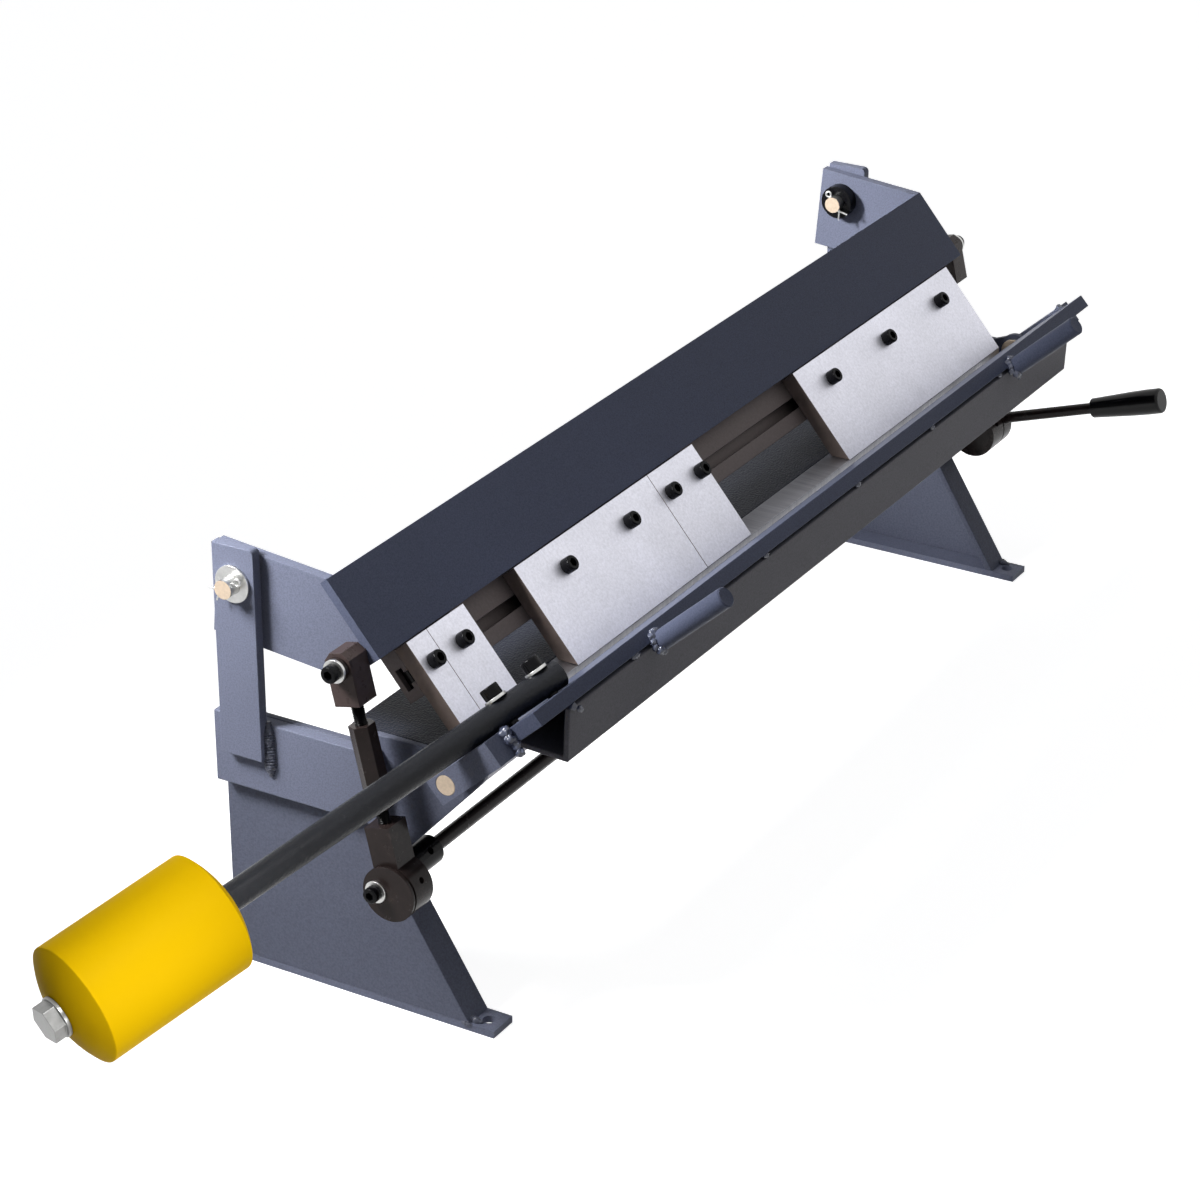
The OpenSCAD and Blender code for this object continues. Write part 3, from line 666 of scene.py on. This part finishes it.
def bead(bm, start, end, radius, pitch=1.3 * MM, tip=0.35):
    """A rippled weld bead along a line, with tips that are a share of its radius."""
    start, end = Vector(start), Vector(end)
    length = (end - start).length
    rings = max(6, int(length / pitch) * 3)
    part = bmesh.new()
    size = radius * tip
    bmesh.ops.create_circle(part, cap_ends=True, segments=10, radius=size)
    edges = part.edges[:]
    # Every third ring is the valley of a ripple; a wave out of step with them makes them uneven
    for i in range(1, rings + 1):
        t = i / rings
        swell = min(1.0, tip + 4 * min(t, 1 - t) * length / (2.5 * radius) / 4)
        wanted = radius * swell * (0.9 + 0.13 * abs(sin(pi * i / 3)) + 0.05 * sin(i * 1.7))
        edges, _ = grow(part, edges, length / rings, wanted / size)
        size = wanted
    bmesh.ops.edgeloop_fill(part, edges=edges)
    add(bm, part, along(end - start, start))
    part.free()


def blob(bm, at, size, seed):
    """A lump of weld metal, whose seed gives it its own shape."""
    part = bmesh.new()
    bmesh.ops.create_icosphere(part, subdivisions=4, radius=size)
    for vert in part.verts:
        place = vert.co / size * 1.3 + Vector((seed * 3.7, 0, 0))
        vert.co *= 1 + 0.3 * noise.noise(place) + 0.1 * noise.noise(place * 2.3)
    add(bm, part, Matrix.Translation(at))
    part.free()


def leaf_point(x, u, n):
    """A point of the leaf's own frame: along the hinge, out from it and off the leaf, in mm."""
    frame_of = Matrix.Translation(HINGE) @ Matrix.Rotation(-LEAF_UP, 4, "X")
    return frame_of @ Vector((x * MM, -u * MM, n * MM))


class DressFrame(bpy.types.Operator):
    """Rounds and paints the side plates, feet, bars and posts."""

    bl_idname = "brake.dress_frame"
    bl_label = "Frame"

    def execute(self, context):
        edge = context.scene.brake_sizes.plate_edge
        # The plates, feet, bars and posts take lighter copies of the frame paint: painted light from
        # the left
        dress("side_plates", edge, finish="plate_sidelit_paint")
        for node in ("feet", "side_bars", "pivot_posts"):
            dress(node, edge, finish="sidelit_paint")
        return {"FINISHED"}


class DressPivots(bpy.types.Operator):
    """Finishes the rear pins with what they carry, the shaft's sleeves and the hinge pins."""

    bl_idname = "brake.dress_pivots"
    bl_label = "Pivots"

    def execute(self, context):
        edge = context.scene.brake_sizes.small_edge
        dress("rear_pins", edge, ends="pin_end")
        dress("rear_washers", edge * 0.5)
        dress("rear_collars", edge, finish="screw_black")
        dress("rear_clips", 0)
        dress("shaft_sleeves", edge, finish="screw_black")
        dress("hinge_pins", edge, ends="pin_end")
        return {"FINISHED"}


class DressBed(bpy.types.Operator):
    """Finishes the bed's machined bar and its textured angle."""

    bl_idname = "brake.dress_bed"
    bl_label = "Bed"

    def execute(self, context):
        sizes = context.scene.brake_sizes
        dress("bed_angle_iron", sizes.plate_edge)
        dress("bed_nose", sizes.machined_edge, finish="ground_steel")
        return {"FINISHED"}


class DressBeam(bpy.types.Operator):
    """Finishes the clamping beam, its end plates and the T-slotted bar."""

    bl_idname = "brake.dress_beam"
    bl_label = "Clamping beam"

    def execute(self, context):
        sizes = context.scene.brake_sizes
        dress("clamp_beam", sizes.plate_edge)
        # The end plates take the lighter copy of the frame paint: painted light from the left
        dress("end_plates", sizes.plate_edge, finish="sidelit_paint")
        dress("tee_slot_bar", sizes.machined_edge, finish="mill_scale")
        dress("link_spacers", sizes.small_edge * 0.5)
        dress("link_washers", sizes.small_edge * 0.5)
        screws("link_bolts", None, width=9 * MM, height=5 * MM, length=24 * MM, socket=4.4 * MM)
        return {"FINISHED"}


class DressFingers(bpy.types.Operator):
    """Finishes the fingers, with brown cut edges, and their screws."""

    bl_idname = "brake.dress_fingers"
    bl_label = "Fingers"

    def execute(self, context):
        sizes = context.scene.brake_sizes
        out = Vector((0, -sin(FACE_TILT), cos(FACE_TILT)))
        for number in range(1, FINGERS + 1):
            dress(f"finger_{number}", sizes.machined_edge, ends="edge_scale")
            dress(f"tee_nuts_{number}", sizes.machined_edge, finish="screw_black")
            screws(
                f"finger_screws_{number}", out,
                width=8.6 * MM, height=6 * MM, length=16.8 * MM, socket=4.4 * MM,
            )
        return {"FINISHED"}


class DressLinks(bpy.types.Operator):
    """Finishes the link blocks and long nuts, and cuts the thread of the studs."""

    bl_idname = "brake.dress_links"
    bl_label = "Links"

    def execute(self, context):
        sizes = context.scene.brake_sizes
        edge = sizes.small_edge
        for side in ("left", "right"):
            dress(f"{side}_lower_block", edge)
            # The upper blocks take the brightened oxide: painted sheen
            dress(f"{side}_upper_block", edge, finish="oxide_with_painted_sheen")
            dress(f"{side}_long_nut", edge)
            low, high = (Vector(corner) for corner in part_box(f"{side}_stud"))
            rim = STUD_R * Vector((0, cos(LINK_LEAN), sin(LINK_LEAN)))
            foot, top = low + rim, high - rim
            foot.x = top.x = (low.x + high.x) / 2
            lean = top - foot
            threaded(f"{side}_stud", foot, lean, lean.length, STUD_R, sizes.thread_pitch)
        return {"FINISHED"}


class DressShaft(bpy.types.Operator):
    """Finishes the eccentric shaft, its discs and the clamp lever."""

    bl_idname = "brake.dress_shaft"
    bl_label = "Eccentric shaft"

    def execute(self, context):
        edge = context.scene.brake_sizes.small_edge
        dress("cam_shaft", edge)
        screws("cam_screws", None, width=8.4 * MM, height=5 * MM, length=10 * MM, socket=4 * MM)
        dress("left_eccentric", edge)
        dress("right_eccentric", edge)
        dress("cam_washers", edge * 0.5)
        dress("lever_rod", edge)
        dress("lever_grip", edge, angle=50)
        return {"FINISHED"}


class DressLeaf(bpy.types.Operator):
    """Finishes the bending leaf, its angle, ears and handles."""

    bl_idname = "brake.dress_leaf"
    bl_label = "Bending leaf"

    def execute(self, context):
        edge = context.scene.brake_sizes.plate_edge
        dress("leaf_plate", edge)
        dress("leaf_angle", edge, finish="angle_paint")
        self.handles(edge)
        # The ears take the lighter textured copy of the frame paint: painted light from the left
        dress("leaf_ears", edge, finish="cheek_sidelit_paint")
        return {"FINISHED"}

    def handles(self, edge):
        """The two round handles, in the leaf's own plane, with slightly dished ends."""
        bm = bmesh.new()
        rim = HANDLE_R - edge
        dish = HANDLE_L - 0.15 * MM
        for side in (-1, 1):
            root = leaf_point(side * HANDLE_X, HANDLE_ROOT, HANDLE_N)
            tip = leaf_point(side * HANDLE_X, HANDLE_ROOT + 1, HANDLE_N)
            profile = [
                (0, 0), (HANDLE_R, 0), (HANDLE_R, HANDLE_L - edge),
                (rim + 0.3 * edge, HANDLE_L - 0.3 * edge), (rim, HANDLE_L),
                (rim - 0.5 * MM, dish), (0, dish),
            ]
            lathe(bm, profile, matrix=along(tip - root, root))
        node = "leaf_handles"
        piece(node + "_finished", bm, body_of(node), slot_of(node), node)


class DressWeight(bpy.types.Operator):
    """Finishes the counterweight, its rod, bolt and screws."""

    bl_idname = "brake.dress_weight"
    bl_label = "Counterweight"

    def execute(self, context):
        edge = context.scene.brake_sizes.small_edge
        dress("counterweight_rod", edge)
        dress("counterweight", 0.35 * MM, angle=14)
        # The weight bolt takes the darkened zinc: painted shade
        dress("weight_bolt", edge, finish="zinc_with_painted_shade")
        dress("rod_washers", edge * 0.5)
        out = leaf_point(0, 0, 1000) - leaf_point(0, 0, 0)
        screws("rod_screws", out, width=10 * MM, height=6 * MM, length=20 * MM, socket=5 * MM)
        return {"FINISHED"}


class WeldSeams(bpy.types.Operator):
    """Lays the welds of the posts, feet, ears, handles and leaf."""

    bl_idname = "brake.weld_seams"
    bl_label = "Welds"

    def execute(self, context):
        radius = context.scene.brake_sizes.weld_radius
        self.frame_welds(radius)
        self.leaf_welds(radius)
        return {"FINISHED"}

    def frame_welds(self, radius):
        """Beads that hold the posts to the bars and the plates to the feet."""
        low, high = (Vector(corner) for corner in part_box("pivot_posts"))
        front, back, foot = low.y - 0.4 * MM, high.y - 4 * MM, low.z
        bm = bmesh.new()
        for side in (-1, 1):
            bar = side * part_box("side_bars")[1][0]
            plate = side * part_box("side_plates")[1][0]
            inner = plate - side * 4 * MM
            # Start, end and share of the radius: a post's front, its foot and its rear corner, then
            # the inner and the outer side of a plate on its foot
            runs = (
                ((bar, front - 1.2 * MM, foot - 10 * MM), (bar, front, foot + 21 * MM), 1.6),
                ((bar, front, foot), (bar, back - 1 * MM, foot), 0.4),
                ((bar, back, foot), (bar, back + 3 * MM, foot + 8 * MM), 0.6),
                ((inner, -62 * MM, 4.5 * MM), (inner, -78 * MM, 4.5 * MM), 1.0),
                ((plate, -68 * MM, 4.2 * MM), (plate, -74 * MM, 4.2 * MM), 0.6),
            )
            for start, end, share in runs:
                bead(bm, start, end, share * radius)
        piece("frame_welds", bm, body_of("pivot_posts"), "frame_paint", finish="weld_crust")

    def leaf_welds(self, radius):
        """Lumps round the handles, down the ears and at the angle's ends, and the angle's tacks."""
        bm = bmesh.new()
        handle_r = HANDLE_R / MM
        for side in (-1, 1):
            for step in range(7):
                turn = pi * (0.42 + 0.16 * step)
                x = side * HANDLE_X + (handle_r + 0.4) * cos(turn)
                n = HANDLE_N + (handle_r + 0.3) * sin(turn)
                at = leaf_point(x, 58.0 + 0.9 * (step % 2), n)
                blob(bm, at, radius * (0.85 + 0.25 * (step % 3) / 2), step + 11 * side)
            for step in range(4):
                x = side * (EAR_X + 0.8 * (step % 2))
                at = leaf_point(x, 38.2 + 0.5 * step, 4.5 - 4.0 * step)
                blob(bm, at, radius * (1.5 - 0.15 * step), step + 5 * side)
            for number, (x, u, n, share) in enumerate(ANGLE_ENDS):
                blob(bm, leaf_point(side * x, u, n), radius * share, side + number)
        for x, long in TACKS:
            start, end = (leaf_point(x + half * long / 2, TACK_U, TACK_N) for half in (-1, 1))
            bead(bm, start, end, 0.75 * radius)
        piece("leaf_welds", bm, body_of("leaf_plate"), "frame_paint", finish="weld_paint")


def seen_rays(tree):
    """One for rays from the camera, direct, reflected or through glass; nought for the others."""
    path = tree.nodes.new("ShaderNodeLightPath")
    total = path.outputs["Is Camera Ray"]
    for kind in ("Is Glossy Ray", "Is Transmission Ray"):
        either = tree.nodes.new("ShaderNodeMath")
        either.operation = "MAXIMUM"
        tree.links.new(total, either.inputs[0])
        tree.links.new(path.outputs[kind], either.inputs[1])
        total = either.outputs[0]
    return total


class BuildStage(bpy.types.Operator):
    """Makes the floor, the lamps, the world and the camera."""

    bl_idname = "brake.build_stage"
    bl_label = "Stage"

    def execute(self, context):
        scene = context.scene
        scene.view_settings.view_transform = "Standard"
        bm = bmesh.new()
        bmesh.ops.create_grid(bm, x_segments=1, y_segments=1, size=12.0)
        mesh = bpy.data.meshes.new("studio_floor")
        bm.to_mesh(mesh)
        bm.free()
        floor = bpy.data.objects.new("studio_floor", mesh)
        scene.collection.objects.link(floor)
        paper = Finish("pale floor", Roughness=0.9, Base_Color=(*scene.brake_colours.floor, 1.0))
        mesh.materials.append(paper.material)
        self.whiten(paper)

        world = bpy.data.worlds.new("studio")
        scene.world = world
        world.use_nodes = True
        tree = world.node_tree
        tree.nodes.clear()
        soft = tree.nodes.new("ShaderNodeBackground")
        soft.inputs["Color"].default_value = (0.9, 0.93, 1.0, 1.0)
        soft.inputs["Strength"].default_value = SOFT_LIGHT
        white = tree.nodes.new("ShaderNodeBackground")
        white.inputs["Color"].default_value = (1.0, 1.0, 1.0, 1.0)
        white.inputs["Strength"].default_value = 1.0
        blend = tree.nodes.new("ShaderNodeMixShader")
        output = tree.nodes.new("ShaderNodeOutputWorld")
        tree.links.new(seen_rays(tree), blend.inputs[0])
        tree.links.new(soft.outputs[0], blend.inputs[1])
        tree.links.new(white.outputs[0], blend.inputs[2])
        tree.links.new(blend.outputs[0], output.inputs[0])

        for lamp in LAMPS:
            self.lamp(*lamp)
        self.camera()
        return {"FINISHED"}

    def whiten(self, paper):
        """Shows the floor white to the camera and in reflections, and keeps the shadow."""
        tree = paper.tree
        glow = tree.nodes.new("ShaderNodeEmission")
        glow.inputs["Color"].default_value = (1.0, 1.0, 1.0, 1.0)
        glow.inputs["Strength"].default_value = FLOOR_GLOW
        both = tree.nodes.new("ShaderNodeAddShader")
        pick = tree.nodes.new("ShaderNodeMixShader")
        output = tree.nodes["Material Output"]
        tree.links.new(paper.shader.outputs[0], both.inputs[0])
        tree.links.new(glow.outputs[0], both.inputs[1])
        tree.links.new(seen_rays(tree), pick.inputs[0])
        tree.links.new(paper.shader.outputs[0], pick.inputs[1])
        tree.links.new(both.outputs[0], pick.inputs[2])
        tree.links.new(pick.outputs[0], output.inputs["Surface"])

    def lamp(self, name, at, to, size, power, spread):
        """A round lamp that looks from one point to another, with its spread in degrees."""
        data = bpy.data.lights.new(name, "AREA")
        data.shape = "DISK"
        data.size = size
        data.energy = power
        data.spread = radians(spread)
        lamp = bpy.data.objects.new(name, data)
        aim = (Vector(to) - Vector(at)).to_track_quat("-Z", "Y")
        lamp.matrix_world = Matrix.Translation(at) @ aim.to_matrix().to_4x4()
        bpy.context.scene.collection.objects.link(lamp)

    def camera(self):
        """The photograph's viewpoint, fitted to the pixels of known points."""
        heading, dip = CAMERA_HEADING, CAMERA_DIP
        look = Vector((cos(heading) * cos(dip), sin(heading) * cos(dip), -sin(dip)))
        data = bpy.data.cameras.new("photo camera")
        data.sensor_width = SENSOR
        data.lens = FOCAL_PIXELS / PHOTO_PIXELS * SENSOR
        data.clip_end = 50.0
        camera = bpy.data.objects.new("photo camera", data)
        aim = look.to_track_quat("-Z", "Y").to_matrix().to_4x4()
        camera.matrix_world = Matrix.Translation(CAMERA_AT) @ aim
        bpy.context.scene.collection.objects.link(camera)
        bpy.context.scene.camera = camera


class BrakePanel(bpy.types.Panel):
    """Lists the brake's pieces, sizes and colours."""

    bl_idname = "VIEW3D_PT_brake"
    bl_label = "Box and Pan Brake"
    bl_space_type = "VIEW_3D"
    bl_region_type = "UI"
    bl_category = "Brake"

    def draw(self, context):
        for group in (context.scene.brake_sizes, context.scene.brake_colours):
            for name in group.bl_rna.properties.keys():
                if name not in ("rna_type", "name"):
                    self.layout.prop(group, name)
        for operator in OPERATORS:
            self.layout.operator(operator.bl_idname)


OPERATORS = (
    DressFrame, DressPivots, DressBed, DressBeam, DressFingers, DressLinks, DressShaft, DressLeaf,
    DressWeight, WeldSeams, BuildStage,
)
CLASSES = (BrakeSizes, BrakeColours, *OPERATORS, BrakePanel)


def register():
    for cls in CLASSES:
        bpy.utils.register_class(cls)
    bpy.types.Scene.brake_sizes = bpy.props.PointerProperty(type=BrakeSizes)
    bpy.types.Scene.brake_colours = bpy.props.PointerProperty(type=BrakeColours)


def unregister():
    del bpy.types.Scene.brake_colours
    del bpy.types.Scene.brake_sizes
    for cls in reversed(CLASSES):
        bpy.utils.unregister_class(cls)


def paint_nodes():
    """Gives every CAD node the finish of its slot."""
    for node, obj in frame["nodes"].items():
        if not obj.data.materials:
            obj.data.materials.append(FINISHES[slot_of(node)])
        for slot in obj.material_slots:
            slot.material = FINISHES[slot_of(node)]


def main():
    register()
    FINISHES.update(make_finishes(bpy.context.scene.brake_colours))
    paint_nodes()
    for operator in OPERATORS:
        group, name = operator.bl_idname.split(".")
        getattr(getattr(bpy.ops, group), name)()


if __name__ == "__main__":
    main()
